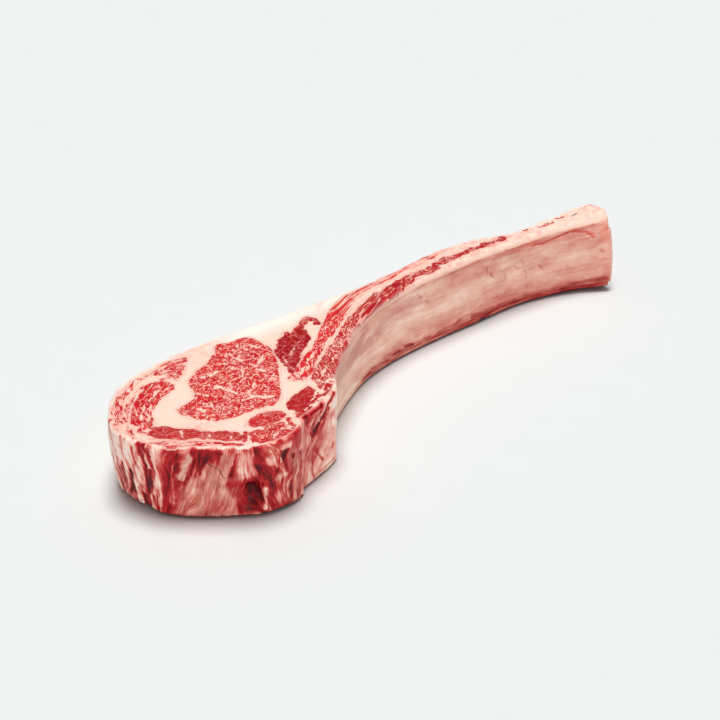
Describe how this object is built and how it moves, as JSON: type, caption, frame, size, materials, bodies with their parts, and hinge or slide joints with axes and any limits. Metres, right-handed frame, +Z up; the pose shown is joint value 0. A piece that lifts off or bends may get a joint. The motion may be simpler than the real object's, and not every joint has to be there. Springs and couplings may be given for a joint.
{
  "type": "raw tomahawk steak",
  "caption": "Thick raw rib steak lying on a cut face: marbled eye and cap in pale fat, with the long curved rib left on as a handle.",
  "frame": {"origin": "centre of the bounding box's bottom, on the table the steak lies on", "axes": "+X along the rib towards its sawn end, +Z up out of the upper cut face, +Y towards the fat cap"},
  "size_m": [0.4235, 0.1245, 0.0577],
  "materials": {
    "lean": "moist raw lean meat with fine pale marbling",
    "dark_lean": "moist darker lean meat",
    "fat": "pale waxy fat with pink streaks",
    "bone": "bone under a thin moist membrane, pinkish tan"
  },
  "bodies": {
    "root": {"rib_bone": "bone", "ribeye_muscle": "lean", "outer_cap_muscle": "lean", "cap_muscle": "lean", "front_muscle": "lean", "front_outer_muscle": "lean", "corner_muscle": "lean", "small_muscle": "lean", "chine_muscle": "dark_lean", "side_muscle": "dark_lean", "outer_strip_muscle": "lean", "rib_meat_upper": "dark_lean", "rib_meat_lower": "dark_lean", "fat": "fat"}
  },
  "joints": []
}
